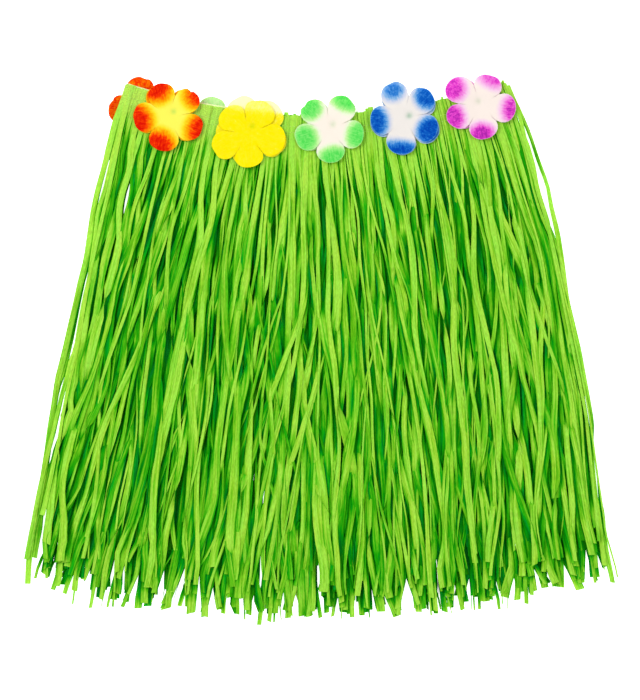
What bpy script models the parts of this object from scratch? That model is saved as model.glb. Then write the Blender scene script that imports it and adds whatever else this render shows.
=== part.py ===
"""A grass skirt laid flat, its front half lying on its back half.

A closed waistband tape is folded flat at its two sides. Two layers of raffia strands hang from
its back half and two from its front half, each layer a plain wall of the strands' reach, and
fabric flowers of two petal layers are sewn along the band. Metres, +Z up, the waist towards +Y.
"""

import math
import random
from collections import namedtuple

import bmesh
import bpy

# Waistband: its top edge is an arc whose middle hangs below its two side folds
WAIST_WIDTH = 0.347
WAIST_SAG = 0.0275
WAIST_LOW_Y = 0.2120
BAND_HEIGHT = 0.024
TAPE_WALL = 0.0010
TAPE_HOLLOW = 0.0008
TAPE_INSET = 0.004
TAPE_COLUMNS = 24
FOLD_STEPS = 4

# Fan of the strands: they leave the band steeper than its own radius and straighten as they fall
LEAVING_SPLAY = 1.35
HEM_SPLAY = 0.52
SPLAY_EASE = 0.080

# Fringe walls: pressed thin where they are sewn to the tape, looser below it
GAP = 0.0003
SEWN_WALL = 0.0012
LOOSE_WALL = 0.0026
SEWN_END = 0.034
LOOSE_START = 0.090
FRINGE_COLUMNS = 32
DROP_ROWS = 3
FALL_ROWS = 5
HEM_RAGGED = 0.010
GATHERS = 16
GATHER_HEIGHT = 0.0018
GATHERS_FULL = 0.150

# Flowers: five round petals in two layers. A petal's edge is a circle about its own middle
PETALS = 5
PETAL_MIDDLE = 0.020
PETAL_RADIUS = 0.012
PETAL_WALL = 0.0008
PETAL_STEPS = 8
PETAL_RINGS = (0.5, 1.0)
FLOWER_SEAT = 0.0004
LIFT_FULL = 0.044
LIFT_END = 0.105

ARC_RADIUS = (WAIST_WIDTH**2 / 4 + WAIST_SAG**2) / (2 * WAIST_SAG)
HALF_ANGLE = math.asin(WAIST_WIDTH / 2 / ARC_RADIUS)
ARC_CENTRE_Y = WAIST_LOW_Y + ARC_RADIUS
TAPE_STACK = 2 * TAPE_WALL + TAPE_HOLLOW + GAP
FLOWER_STACK = 2 * PETAL_WALL + 2 * GAP

# Fringe layers from the floor up. length is a strand's length in metres
Layer = namedtuple("Layer", "name length seed")
FRINGE = (
    Layer("fringe_back_outer", 0.440, 3),
    Layer("fringe_back_inner", 0.452, 5),
    Layer("fringe_front_inner", 0.4545, 8),
    Layer("fringe_front_outer", 0.432, 13),
)
BACK_LAYERS = 2

# across is the place along the half waist, from -1 at the left fold to 1 at the right one, and
# down is how far the centre lies below the band's top edge, in metres. turn and under_turn are
# the angles of a petal of the top and the under layer, in degrees, and under_rise is how far the
# under layer sits towards the top edge.
Flower = namedtuple("Flower", "name across down turn under_turn under_rise colour")
FRONT_FLOWERS = (
    Flower("flower_orange", -0.756, 0.0181, 41, 43, 0.0, (1.0, 0.15, 0.01)),
    Flower("flower_yellow", -0.351, 0.0205, -13, 43, 0.003, (1.0, 0.82, 0.0)),
    Flower("flower_green", 0.049, 0.0126, -14, -16, 0.0, (0.15, 0.80, 0.12)),
    Flower("flower_blue", 0.422, 0.0081, 44, 52, -0.001, (0.02, 0.12, 0.60)),
    Flower("flower_purple", 0.812, 0.0119, -6, -4, 0.0, (0.65, 0.04, 0.55)),
)
BACK_FLOWERS = (
    Flower("flower_back_orange", -0.882, 0.0195, 28, 30, 0.0, (0.90, 0.08, 0.0)),
    Flower("flower_back_green", -0.534, 0.0235, 18, 20, 0.0, (0.48, 0.85, 0.25)),
)

TAPE_COLOUR = (0.55, 0.72, 0.18)
RAFFIA_COLOUR = (0.15, 0.55, 0.03)
PAPER_ROUGHNESS = 0.55
FABRIC_ROUGHNESS = 0.85


def clear_scene():
    for item in list(bpy.data.objects):
        bpy.data.objects.remove(item, do_unlink=True)


def matt_material(name, colour, roughness):
    """A matt, non-metallic finish in linear RGB."""
    material = bpy.data.materials.new(name)
    material.use_nodes = True
    shader = material.node_tree.nodes["Principled BSDF"]
    shader.inputs["Base Color"].default_value = (*colour, 1.0)
    shader.inputs["Roughness"].default_value = roughness
    shader.inputs["Metallic"].default_value = 0.0
    return material


def ease(share):
    """A smooth step from 0 to 1."""
    share = min(max(share, 0.0), 1.0)
    return share * share * (3 - 2 * share)


def fan(across, down):
    """The place of a strand's point: its angle eases from the leaving splay to the hem's."""
    angle = across * HALF_ANGLE
    settled = 1.0
    if down > 0:
        settled = SPLAY_EASE / down * (1 - math.exp(-down / SPLAY_EASE))
    lean = angle * (HEM_SPLAY + (LEAVING_SPLAY - HEM_SPLAY) * settled)
    x = ARC_RADIUS * math.sin(angle) + down * math.sin(lean)
    y = ARC_CENTRE_Y - ARC_RADIUS * math.cos(angle) - down * math.cos(lean)
    return x, y


def on_waist(across, down):
    """A point this far straight below the band's top edge, along the arc's own radius."""
    angle = across * HALF_ANGLE
    reach = ARC_RADIUS + down
    return reach * math.sin(angle), ARC_CENTRE_Y - reach * math.cos(angle)


def below_waist(x, y):
    return math.hypot(x, ARC_CENTRE_Y - y) - ARC_RADIUS


def flower_lift(x, y):
    """How far everything is raised over the back flowers, which lie on the floor."""
    ax, ay = on_waist(BACK_FLOWERS[0].across, BACK_FLOWERS[0].down)
    bx, by = on_waist(BACK_FLOWERS[1].across, BACK_FLOWERS[1].down)
    along = ((x - ax) * (bx - ax) + (y - ay) * (by - ay)) / ((bx - ax) ** 2 + (by - ay) ** 2)
    along = min(max(along, 0.0), 1.0)
    distance = math.hypot(x - ax - along * (bx - ax), y - ay - along * (by - ay))
    return FLOWER_STACK * ease((LIFT_END - distance) / (LIFT_END - LIFT_FULL))


def sewn_share(x, y):
    """1 on the band and just below it, 0 where the strands hang loose."""
    return ease((LOOSE_START - below_waist(x, y)) / (LOOSE_START - SEWN_END))


def fringe_wall(x, y):
    sewn = sewn_share(x, y)
    return SEWN_WALL * sewn + LOOSE_WALL * (1 - sewn)


def stack_height(x, y, layers, over_tape):
    """The height that so many fringe layers reach, with the gap over each, and over the tape."""
    height = flower_lift(x, y) + layers * (fringe_wall(x, y) + GAP)
    if over_tape:
        height += TAPE_STACK * sewn_share(x, y)
    return height


def gather(across, down, layer):
    """Soft ridges down the strands, none on the floor and highest on top."""
    grown = ease((down - LOOSE_START) / (GATHERS_FULL - LOOSE_START))
    ridge = 0.5 + 0.5 * math.cos(math.pi * GATHERS * (across + 1))
    return GATHER_HEIGHT * grown * ridge * layer / (len(FRINGE) - 1)


def row_depths(length):
    """The distances down a strand at which a wall has a row of points."""
    drop = [SEWN_END + (LOOSE_START - SEWN_END) * i / DROP_ROWS for i in range(DROP_ROWS + 1)]
    fall = [LOOSE_START + (length - LOOSE_START) * i / FALL_ROWS for i in range(1, FALL_ROWS + 1)]
    return [0.0] + drop + fall


def finish_wall(name, sheet, thickness, material):
    """Closes an open sheet, whose points are its underside, into a wall of that thickness."""
    grown = bmesh.ops.extrude_face_region(sheet, geom=sheet.faces[:])
    for item in grown["geom"]:
        if isinstance(item, bmesh.types.BMVert):
            item.co.z += item[thickness]
    bmesh.ops.recalc_face_normals(sheet, faces=sheet.faces[:])
    mesh = bpy.data.meshes.new(name)
    sheet.to_mesh(mesh)
    sheet.free()
    mesh.materials.append(material)
    wall = bpy.data.objects.new(name, mesh)
    bpy.context.scene.collection.objects.link(wall)
    return wall


def make_fringe(number, layer, material):
    """One layer of strands as a fan-shaped wall with a ragged hem."""
    sheet = bmesh.new()
    thickness = sheet.verts.layers.float.new("thickness")
    ragged = random.Random(layer.seed)
    columns = []
    for column in range(FRINGE_COLUMNS + 1):
        across = 2 * column / FRINGE_COLUMNS - 1
        length = layer.length + HEM_RAGGED * ragged.uniform(-1, 1)
        points = []
        for down in row_depths(length):
            x, y = fan(across, down)
            z = stack_height(x, y, number, number >= BACK_LAYERS)
            z += gather(across, down, number)
            point = sheet.verts.new((x, y, z))
            point[thickness] = fringe_wall(x, y)
            points.append(point)
        columns.append(points)
    for left, right in zip(columns, columns[1:]):
        for row in range(len(left) - 1):
            sheet.faces.new((left[row], left[row + 1], right[row + 1], right[row]))
    finish_wall(layer.name, sheet, thickness, material)


def tape_section():
    """Round the folded tape: across, sideways past the fold, height above its lowest point."""
    middle = TAPE_WALL / 2
    radius = (TAPE_WALL + TAPE_HOLLOW) / 2
    centre = middle + radius
    reach = 1 - 2 * TAPE_INSET / WAIST_WIDTH
    straight = [reach * (2 * i / TAPE_COLUMNS - 1) for i in range(TAPE_COLUMNS + 1)]
    turn = [math.pi * i / FOLD_STEPS for i in range(1, FOLD_STEPS)]
    section = [(across, 0.0, -1.0) for across in straight]
    section += [(reach, math.sin(a), -math.cos(a)) for a in turn]
    section += [(across, 0.0, 1.0) for across in reversed(straight)]
    section += [(-reach, -math.sin(a), math.cos(a)) for a in turn]
    return centre, radius, section


def make_tape(material):
    """The waistband tape: one closed ring, folded flat, with its two walls a little apart."""
    centre, radius, section = tape_section()
    ring = bmesh.new()
    corners = []
    for across, side, up in section:
        edges = []
        for down, offset in (
            (0.0, TAPE_WALL / 2),
            (BAND_HEIGHT, TAPE_WALL / 2),
            (BAND_HEIGHT, -TAPE_WALL / 2),
            (0.0, -TAPE_WALL / 2),
        ):
            x, y = on_waist(across, down)
            seat = stack_height(x, y, BACK_LAYERS, False)
            angle = across * HALF_ANGLE
            reach = (radius + offset) * side
            x += reach * math.cos(angle)
            y += reach * math.sin(angle)
            edges.append(ring.verts.new((x, y, seat + centre + (radius + offset) * up)))
        corners.append(edges)
    for here, there in zip(corners, corners[1:] + corners[:1]):
        for corner in range(4):
            after = (corner + 1) % 4
            ring.faces.new((here[corner], here[after], there[after], there[corner]))
    bmesh.ops.recalc_face_normals(ring, faces=ring.faces[:])
    mesh = bpy.data.meshes.new("waist_tape")
    ring.to_mesh(mesh)
    ring.free()
    mesh.materials.append(material)
    bpy.context.scene.collection.objects.link(bpy.data.objects.new("waist_tape", mesh))


def petal_reach(angle):
    """The flower's outline at an angle from a petal's middle line: circles that meet in notches."""
    sector = math.tau / PETALS
    off = (angle + sector / 2) % sector - sector / 2
    side = PETAL_MIDDLE * math.sin(off)
    return PETAL_MIDDLE * math.cos(off) + math.sqrt(PETAL_RADIUS**2 - side**2)


def make_petals(name, flower, turn, rise, floor, material):
    """One five-petalled fabric layer, laid on the surface that floor(x, y) gives."""
    sheet = bmesh.new()
    thickness = sheet.verts.layers.float.new("thickness")
    cx, cy = on_waist(flower.across, flower.down - rise)
    turn = math.radians(turn)
    steps = PETALS * PETAL_STEPS
    centre = sheet.verts.new((cx, cy, floor(cx, cy)))
    centre[thickness] = PETAL_WALL
    rings = []
    for share in PETAL_RINGS:
        ring = []
        for step in range(steps):
            angle = math.tau * step / steps
            reach = share * petal_reach(angle)
            x = cx + reach * math.cos(turn + angle)
            y = cy + reach * math.sin(turn + angle)
            point = sheet.verts.new((x, y, floor(x, y)))
            point[thickness] = PETAL_WALL
            ring.append(point)
        rings.append(ring)
    for step in range(steps):
        after = (step + 1) % steps
        sheet.faces.new((centre, rings[0][step], rings[0][after]))
        for inner, outer in zip(rings, rings[1:]):
            sheet.faces.new((inner[step], outer[step], outer[after], inner[after]))
    finish_wall(name, sheet, thickness, material)


def front_seat(x, y):
    return stack_height(x, y, len(FRINGE), True) + FLOWER_SEAT - GAP


def make_front_flower(flower):
    """The under layer lies on the front fringe and the top layer lies on it."""
    under = matt_material(flower.name + "_under_fabric", flower.colour, FABRIC_ROUGHNESS)
    top = matt_material(flower.name + "_top_fabric", flower.colour, FABRIC_ROUGHNESS)
    name = flower.name + "_under"
    make_petals(name, flower, flower.under_turn, flower.under_rise, front_seat, under)

    def on_under(x, y):
        return front_seat(x, y) + PETAL_WALL + GAP

    make_petals(flower.name + "_top", flower, flower.turn, 0.0, on_under, top)


def make_back_flower(flower):
    """The top layer faces the floor and lies on it, and the under layer lies above it."""
    under = matt_material(flower.name + "_under_fabric", flower.colour, FABRIC_ROUGHNESS)
    top = matt_material(flower.name + "_top_fabric", flower.colour, FABRIC_ROUGHNESS)

    def on_floor(x, y):
        return 0.0

    def on_top(x, y):
        return PETAL_WALL + GAP

    make_petals(flower.name + "_top", flower, flower.turn, 0.0, on_floor, top)
    make_petals(flower.name + "_under", flower, flower.under_turn, 0.0, on_top, under)


def make_skirt():
    clear_scene()
    raffia = matt_material("crepe_paper_raffia", RAFFIA_COLOUR, PAPER_ROUGHNESS)
    for number, layer in enumerate(FRINGE):
        make_fringe(number, layer, raffia)
    make_tape(matt_material("paper_tape", TAPE_COLOUR, PAPER_ROUGHNESS))
    for flower in FRONT_FLOWERS:
        make_front_flower(flower)
    for flower in BACK_FLOWERS:
        make_back_flower(flower)


make_skirt()
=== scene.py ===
"""A grass skirt laid flat: crinkled paper raffia strands on a waist tape, with fabric flowers.

The strands are laid one after another on a height map of the pile, the back half first, then the
waist tape, then the front half and the flowers, so that each lies on what is under it. Metres.
"""

import math
from collections import namedtuple
from functools import partial
from itertools import chain

import bpy
import numpy as np
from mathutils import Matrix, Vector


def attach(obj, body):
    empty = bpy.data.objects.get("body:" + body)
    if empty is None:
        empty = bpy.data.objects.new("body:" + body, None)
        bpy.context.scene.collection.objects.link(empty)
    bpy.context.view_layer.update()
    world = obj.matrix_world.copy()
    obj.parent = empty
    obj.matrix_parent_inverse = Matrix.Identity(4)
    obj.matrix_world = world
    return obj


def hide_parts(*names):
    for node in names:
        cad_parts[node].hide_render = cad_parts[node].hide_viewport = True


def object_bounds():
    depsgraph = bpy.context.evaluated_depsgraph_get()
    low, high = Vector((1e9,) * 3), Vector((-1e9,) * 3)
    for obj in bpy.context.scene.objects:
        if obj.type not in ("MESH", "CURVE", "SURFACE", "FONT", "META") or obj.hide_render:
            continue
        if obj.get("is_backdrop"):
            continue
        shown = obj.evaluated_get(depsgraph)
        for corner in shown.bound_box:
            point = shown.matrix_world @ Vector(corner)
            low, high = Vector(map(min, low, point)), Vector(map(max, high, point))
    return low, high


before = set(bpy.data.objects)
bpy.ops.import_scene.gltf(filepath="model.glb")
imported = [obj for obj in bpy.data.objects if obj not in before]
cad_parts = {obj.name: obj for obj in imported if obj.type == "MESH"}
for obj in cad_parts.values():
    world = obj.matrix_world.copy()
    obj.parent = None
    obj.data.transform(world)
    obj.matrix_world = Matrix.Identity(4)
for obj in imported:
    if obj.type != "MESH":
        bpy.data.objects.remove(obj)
cad_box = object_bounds()
bpy.ops.object.select_all(action="DESELECT")
MM = 0.001

# Waistband and fan, as the CAD pieces have them
WAIST_WIDTH = 0.347
WAIST_SAG = 0.0275
WAIST_LOW_Y = 0.2120
BAND_HEIGHT = 0.024
LEAVING_SPLAY = 1.35
HEM_SPLAY = 0.52
SPLAY_EASE = 0.080
ARC_RADIUS = (WAIST_WIDTH**2 / 4 + WAIST_SAG**2) / (2 * WAIST_SAG)
HALF_ANGLE = math.asin(WAIST_WIDTH / 2 / ARC_RADIUS)
ARC_CENTRE_Y = WAIST_LOW_Y + ARC_RADIUS

# Strands
SECTIONS = 50
# across, fold height and thickness side of the points round a strand's section
LOOP = np.array([(-1, 1, 0), (-0.5, 0, 1), (0, -1, 1), (0.5, 0, 1), (1, 1, 0), (0, -1, -1)])
PAPER = 0.24 * MM
HEADING_PAPER = 0.16 * MM
# the steepest that stiff paper rises over what it lies on, and how steeply and how far down the
# sewn part may
SLOPE_LIMIT = 0.13
SEWN_SLOPE = 0.34
SEWN_TO = 0.055
# the side of a cell of the pile's height map
CELL = 0.001


# Materials


def linear(hex_colour):
    """Linear RGBA from an sRGB hex colour."""
    values = [int(hex_colour[i : i + 2], 16) / 255 for i in (1, 3, 5)]
    return (*[v / 12.92 if v <= 0.04045 else ((v + 0.055) / 1.055) ** 2.4 for v in values], 1.0)


def add_node(tree, kind, inputs=None, stops=(), **settings):
    """Adds a shader node: its settings, then its inputs, each a value, an output or a node whose
    first output is meant, and the colour stops of a ramp."""
    made = tree.nodes.new("ShaderNode" + kind)
    for name, value in settings.items():
        setattr(made, name, value)
    for key, value in (inputs or {}).items():
        if isinstance(value, bpy.types.Node):
            value = value.outputs[0]
        if isinstance(value, bpy.types.NodeSocket):
            tree.links.new(value, made.inputs[key])
        else:
            made.inputs[key].default_value = value
    for number, (place, colour) in enumerate(stops):
        elements = made.color_ramp.elements
        stop = elements[number] if number < 2 else elements.new(place)
        stop.position = place
        stop.color = linear(colour)
    return made


def spread_over(noise, low, high):
    """A map range's inputs, to spread the middle of a noise texture's values over a range."""
    return {"Value": noise, "From Min": 0.3, "From Max": 0.7, "To Min": low, "To Max": high}


MULTIPLIED = {"data_type": "RGBA", "blend_type": "MULTIPLY"}


def blank_material(name):
    """A material without nodes, and the function that adds one to it."""
    material = bpy.data.materials.new(name)
    material.use_nodes = True
    material.node_tree.nodes.clear()
    return material, partial(add_node, material.node_tree)


# the paper's tones from deep green to lime; the deep end also colours the painted shade inside the pile
RAFFIA_DYE_AND_SHADE = (
    (0, "#048000"), (1, "#AEEC4C"), (0.22, "#0EA002"), (0.42, "#38B208"), (0.62, "#6ECA1C"),
    (0.82, "#9ADC36"),
)
# streaks along the paper: how wide and long in millimetres, how fine, and what range they spread over
RAFFIA_STREAKS = {
    "drift": (22, 42, 1.0, -0.07, 0.11),
    # painted light and shade of long creases: lighter and darker streaks standing in for their relief
    "crease": (1.5, 38, 2.0, -0.28, 0.20),
    "grain": (0.8, 4, 3.0, 0.82, 1.15),
    "tint": (5, 50, 2.0, 0.488, 0.516),
}


def raffia_material(name):
    """Crepe-paper raffia, cut from dyed crinkled paper and pulled flat: soft satin faces with fine
    crinkles, long creases whose light and shade are painted as streaks, painted shade along the cut
    edges where they would curl under, a colour from lime to leaf green, and painted shade, deep green,
    inside the pile where higher strands lie beside and over a strand; some light comes through the paper."""
    material, add = blank_material(name)
    uv = add("UVMap", uv_map="strand")
    tone, across, heading = (
        add("Attribute", attribute_name=kept).outputs["Fac"] for kept in ("tone", "across", "heading")
    )
    noises, streaks = {}, {}
    for use, (wide, long, detail, low, high) in RAFFIA_STREAKS.items():
        place = add("Mapping", {"Vector": uv, "Scale": (1 / (wide * MM), 1 / (long * MM), 1)})
        noises[use] = add("TexNoise", {"Vector": place, "Scale": 1.0, "Detail": detail})
        streaks[use] = add("MapRange", spread_over(noises[use], low, high))
    # painted shade: the outer quarter of each side of a ribbon darker, where its cut edge would curl under
    from_middle = add("Math", {0: across}, operation="ABSOLUTE")
    edge_only = {"Value": from_middle, "From Min": 0.76, "From Max": 1.0, "To Min": 0.0, "To Max": -0.24}
    painted_edge_shade = add("MapRange", edge_only)
    # the tone, with the painted shade of the pile, then the painted crease and edge shade
    mixed = tone
    for part in (streaks["drift"], streaks["crease"], painted_edge_shade):
        mixed = add("Math", {0: mixed, 1: part}, operation="ADD")
    dyed = add("ValToRGB", {"Fac": mixed}, RAFFIA_DYE_AND_SHADE)
    lined = add("Mix", {0: 1.0, 6: dyed, 7: streaks["grain"]}, **MULTIPLIED).outputs[2]
    place = add("TexCoord").outputs["Object"]
    # the crinkles of the heading, their light and shade painted as speckles a little coarser than the real
    # half millimetre, so they show
    crepe = add("TexNoise", {"Vector": place, "Scale": 1 / (1.1 * MM), "Detail": 2.0})
    crinkle_light_and_shade = add("MapRange", spread_over(crepe, 0.80, 1.22))
    paler = add("Mix", {0: 0.68, 6: lined, 7: linear("#BEE65E")}, data_type="RGBA").outputs[2]
    speckled = add("Mix", {0: 1.0, 6: paler, 7: crinkle_light_and_shade}, **MULTIPLIED).outputs[2]
    sewn = add("Mix", {0: heading, 6: lined, 7: speckled}, data_type="RGBA").outputs[2]
    shifted = add("HueSaturation", {"Hue": streaks["tint"], "Color": sewn})
    bump = add("Bump", {"Height": noises["grain"], "Strength": 0.6, "Distance": 0.25 * MM})
    finish = {"Base Color": shifted, "Normal": bump, "Roughness": 0.65, "Specular IOR Level": 0.03}
    paper = add("BsdfPrincipled", finish)
    through = add("BsdfTranslucent", {"Color": shifted, "Normal": bump})
    both = add("MixShader", {0: 0.22, 1: paper, 2: through})
    add("OutputMaterial", {"Surface": both})
    return material


def tape_material():
    """Pressed paper tape along the waist: cream, matt, with a fine ribbed weave."""
    material, add = blank_material("cream_paper_tape")
    place = add("TexCoord").outputs["Object"]
    ribs = add("TexNoise", {"Vector": place, "Scale": 1 / (0.8 * MM), "Detail": 2.0})
    ramp = add("ValToRGB", {"Fac": ribs}, ((0.3, "#E2EE98"), (0.7, "#F4F8C8")))
    bump = add("Bump", {"Height": ribs, "Strength": 0.3, "Distance": 0.2 * MM})
    paper = add("BsdfPrincipled", {"Base Color": ramp, "Roughness": 0.75, "Normal": bump})
    add("OutputMaterial", {"Surface": paper})
    return material


def thread_material():
    """Pale cotton sewing thread: matt, slightly hairy."""
    material, add = blank_material("pale_cotton_thread")
    place = add("TexCoord").outputs["Object"]
    fibre = add("TexNoise", {"Vector": place, "Scale": 1 / (0.3 * MM), "Detail": 2.0})
    ramp = add("ValToRGB", {"Fac": fibre}, ((0.3, "#B4DC58"), (0.7, "#D8F090")))
    cotton = add("BsdfPrincipled", {"Base Color": ramp, "Roughness": 0.85})
    add("OutputMaterial", {"Surface": cotton})
    return material


# the colour of a soft mark at a flower's middle, over its pressed-in dimple, and its dye from none to full
PETAL_DYES = {
    "orange": (
        "#C8E860", (0, "#FFF860"), (1, "#E01000"), (0.22, "#FFE628"), (0.42, "#FFB400"), (0.6, "#FF7C00"),
        (0.77, "#F83800"),
    ),
    "yellow": (
        "#D8E010", (0, "#FFFBDC"), (1, "#FFEE00"), (0.25, "#FFF8B0"), (0.5, "#FFF660"),
        (0.75, "#FFF020"),
    ),
    "green": (
        "#DEE6C8", (0, "#FDF4E8"), (1, "#58E25A"), (0.18, "#F0F8DC"), (0.38, "#CCF6A8"), (0.58, "#9CF084"),
        (0.8, "#7CEC70"),
    ),
    "blue": (
        "#A0C4A8", (0, "#F3EEE9"), (1, "#0048B8"), (0.2, "#D8DCEC"), (0.42, "#8CBCE8"), (0.62, "#3C8CDC"),
        (0.82, "#0C64C8"),
    ),
    "purple": (
        "#E0E0CC", (0, "#FCF1E9"), (1, "#B428B0"), (0.2, "#FADCF0"), (0.42, "#F8B0EA"), (0.62, "#F27CDE"),
        (0.8, "#E840D0"),
    ),
}


def petal_material(name, middle_mark_colour, *stops):
    """Thin polyester petal fabric, dyed from its tips by brush and heat-cut: matt, with strokes about
    1.3 mm wide and 3 mm blotches where the dye took unevenly, a very fine weave and some light
    through it."""
    material, add = blank_material(name)
    place = add("TexCoord").outputs["Object"]
    dye, middle_mark = (add("Attribute", attribute_name=kept).outputs["Fac"] for kept in ("dye", "middle_mark"))
    blotch = add("TexNoise", {"Vector": place, "Scale": 1 / (3.0 * MM), "Detail": 6.0, "Roughness": 0.7})
    drift = add("MapRange", spread_over(blotch, -0.28, 0.16))
    brush = add("UVMap", uv_map="brush")
    brushed = add("Mapping", {"Vector": brush, "Scale": (1 / (7 * MM), 1 / (1.3 * MM), 1)})
    strokes = add("TexNoise", {"Vector": brushed, "Scale": 1.0, "Detail": 3.0})
    stroke = add("MapRange", spread_over(strokes, -0.15, 0.10))
    rough = add("Math", {0: drift, 1: stroke}, operation="ADD")
    uneven = add("Math", {0: dye, 1: rough}, operation="MULTIPLY")
    mixed = add("Math", {0: dye, 1: uneven}, operation="ADD")
    ramp = add("ValToRGB", {"Fac": mixed}, stops)
    # a soft mark of its own colour at the flower's middle
    share = add("Math", {0: middle_mark, 1: 0.8}, operation="MULTIPLY")
    dyed = add("Mix", {0: share, 6: ramp, 7: linear(middle_mark_colour)}, data_type="RGBA").outputs[2]
    # the weave, drawn coarser than real threads of about 0.15 mm, so that it shows
    weave = add("TexNoise", {"Vector": place, "Scale": 1 / (0.35 * MM), "Detail": 1.0})
    bump = add("Bump", {"Height": weave, "Strength": 0.25, "Distance": 0.1 * MM})
    finish = {"Base Color": dyed, "Normal": bump, "Roughness": 0.85, "Specular IOR Level": 0.05}
    cloth = add("BsdfPrincipled", finish)
    through = add("BsdfTranslucent", {"Color": dyed})
    both = add("MixShader", {0: 0.22, 1: cloth, 2: through})
    add("OutputMaterial", {"Surface": both})
    return material


# Shape helpers


def ease(share):
    """A smooth step from 0 to 1."""
    share = np.clip(share, 0.0, 1.0)
    return share * share * (3 - 2 * share)


def fan(across, down):
    """The place of a strand's point, as in the CAD walls: its angle eases towards the hem."""
    angle = across * HALF_ANGLE
    reach = np.maximum(down, 1e-6)
    settled = SPLAY_EASE / reach * (1 - np.exp(-reach / SPLAY_EASE))
    lean = angle * (HEM_SPLAY + (LEAVING_SPLAY - HEM_SPLAY) * settled)
    x = ARC_RADIUS * np.sin(angle) + down * np.sin(lean)
    y = ARC_CENTRE_Y - ARC_RADIUS * np.cos(angle) - down * np.cos(lean)
    return x, y


def on_waist(across, down):
    """A point this far straight below the band's top edge."""
    angle = across * HALF_ANGLE
    return (ARC_RADIUS + down) * np.sin(angle), ARC_CENTRE_Y - (ARC_RADIUS + down) * np.cos(angle)


def below_waist(x, y):
    """How far a point is below the band's top edge."""
    return np.hypot(x, ARC_CENTRE_Y - y) - ARC_RADIUS


def smooth_wave(rng, places, step):
    """Smooth noise along a line, about 1 high, with features about step long."""
    knots = np.arange(places.min() - step, places.max() + 2 * step, step)
    heights = rng.uniform(-1, 1, len(knots))
    slot = np.clip(((places - knots[0]) / step).astype(int), 0, len(knots) - 2)
    share = ease((places - knots[slot]) / step)
    return heights[slot] * (1 - share) + heights[slot + 1] * share


def kinked_line(rng, places, step):
    """A random line of straight stretches about this long with soft kinks, up to 1 to either side."""
    knots = np.arange(places.min() - 2 * step, places.max() + 3 * step, step) + rng.uniform(-0.4, 0.4) * step
    heights = rng.uniform(-1, 1, len(knots))
    return np.mean([np.interp(places + nudge * step, knots, heights) for nudge in (-0.16, 0, 0.16)], axis=0)


class Pile:
    """The height of all that has been laid down, on a grid of cells."""

    def __init__(self, low, high):
        self.low = np.array(low)
        self.shape = tuple(np.ceil((np.array(high) - self.low) / CELL).astype(int))
        self.top = np.zeros(self.shape)

    def cells(self, x, y):
        column = np.clip(((x - self.low[0]) / CELL).astype(int), 0, self.shape[0] - 1)
        row = np.clip(((y - self.low[1]) / CELL).astype(int), 0, self.shape[1] - 1)
        return column, row

    def at(self, x, y):
        return self.top[self.cells(x, y)]

    def cover(self, x, y, z):
        np.maximum.at(self.top, self.cells(x, y), z)

    def draped(self, reach):
        """The pile's height as a soft sheet over it would have it: nowhere below the pile."""
        return over_squares(over_squares(self.top, reach, np.max), reach, np.mean)


def over_squares(grid, reach, gathered):
    """The grid's highest values or means over squares of this many cells each way."""
    for axis in (0, 1):
        grid = gathered([np.roll(grid, step, axis=axis) for step in range(-reach, reach + 1)], axis=0)
    return grid


def quads(grids):
    """The faces between neighbours in grids of vertex numbers."""
    corners = grids[..., :-1, :-1], grids[..., 1:, :-1], grids[..., 1:, 1:], grids[..., :-1, 1:]
    return np.stack(corners, axis=-1).reshape(-1, 4).tolist()


def closed(grids):
    """Grids of vertex numbers that run back to their first column."""
    return np.concatenate([grids, grids[..., :1]], axis=-1)


def new_piece(name, points, faces, material):
    """Makes a mesh's object from its points and faces, and selects it alone."""
    mesh = bpy.data.meshes.new(name)
    mesh.from_pydata(np.reshape(points, (-1, 3)).tolist(), [], faces)
    mesh.materials.append(material)
    piece = bpy.data.objects.new(name, mesh)
    bpy.context.scene.collection.objects.link(piece)
    bpy.ops.object.select_all(action="DESELECT")
    piece.select_set(True)
    bpy.context.view_layer.objects.active = piece
    return piece


def store_values(mesh, name, values):
    """Keeps a number for each vertex as an attribute of the mesh."""
    mesh.attributes.new(name, "FLOAT", "POINT").data.foreach_set("value", np.ravel(values))


def store_places(mesh, name, places):
    """Keeps a place for each vertex as a UV map of the mesh."""
    corner = np.zeros(len(mesh.loops), np.int32)
    mesh.loops.foreach_get("vertex_index", corner)
    mesh.uv_layers.new(name=name).data.foreach_set("uv", places.reshape(-1, 2)[corner].ravel())


def stand_for(piece, node):
    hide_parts(node)
    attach(piece, "root")


# Strands


# how far the outermost ribbons stand out from the fan's sides, at places down from the waist
EDGE_DOWN = (0, 0.03, 0.06, 0.075, 0.10, 0.12, 0.14, 0.16, 0.20, 0.24, 0.28, 0.32, 0.36, 0.40, 0.44)
LEFT_EDGE = np.array((-0.4, -1.4, -4.0, -8.5, -9.5, -11, -12, -13, -13, -13, -12, -11, -10, -8.0, -6.0)) * MM
RIGHT_EDGE = np.array((-2.0, -4.5, -4.5, -5.0, -5.5, -4.0, 0, 2, 1.0, 1.5, 2.4, 0.5, -2.1, -2.2, 0)) * MM


# how many degrees more to the right than the fan the ribbons lean: a row for each place down from the
# waist, for seven even places across it
LEAN_DOWN = (0.02, 0.05, 0.13, 0.20, 0.28, 0.44)
LEANS = np.array(
    (
        (0, 0, 0, 0, 0, 0, 0),
        (0, -4.5, -5.0, 3.0, 4.5, 0, 0),
        (-1.5, -4.5, -4.0, 3.5, 5.0, -1.0, 0),
        (-2.5, -2.5, -2.5, 2.0, 4.0, -3.0, -1.0),
        (-3.0, -3.5, -3.0, -1.0, 0.5, -4.5, -1.5),
        (-7.0, -6.0, -4.0, 0, 1.0, -6.0, -2.0),
    )
)
LEAN_STEPS = np.linspace(0, 0.48, 97)


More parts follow.
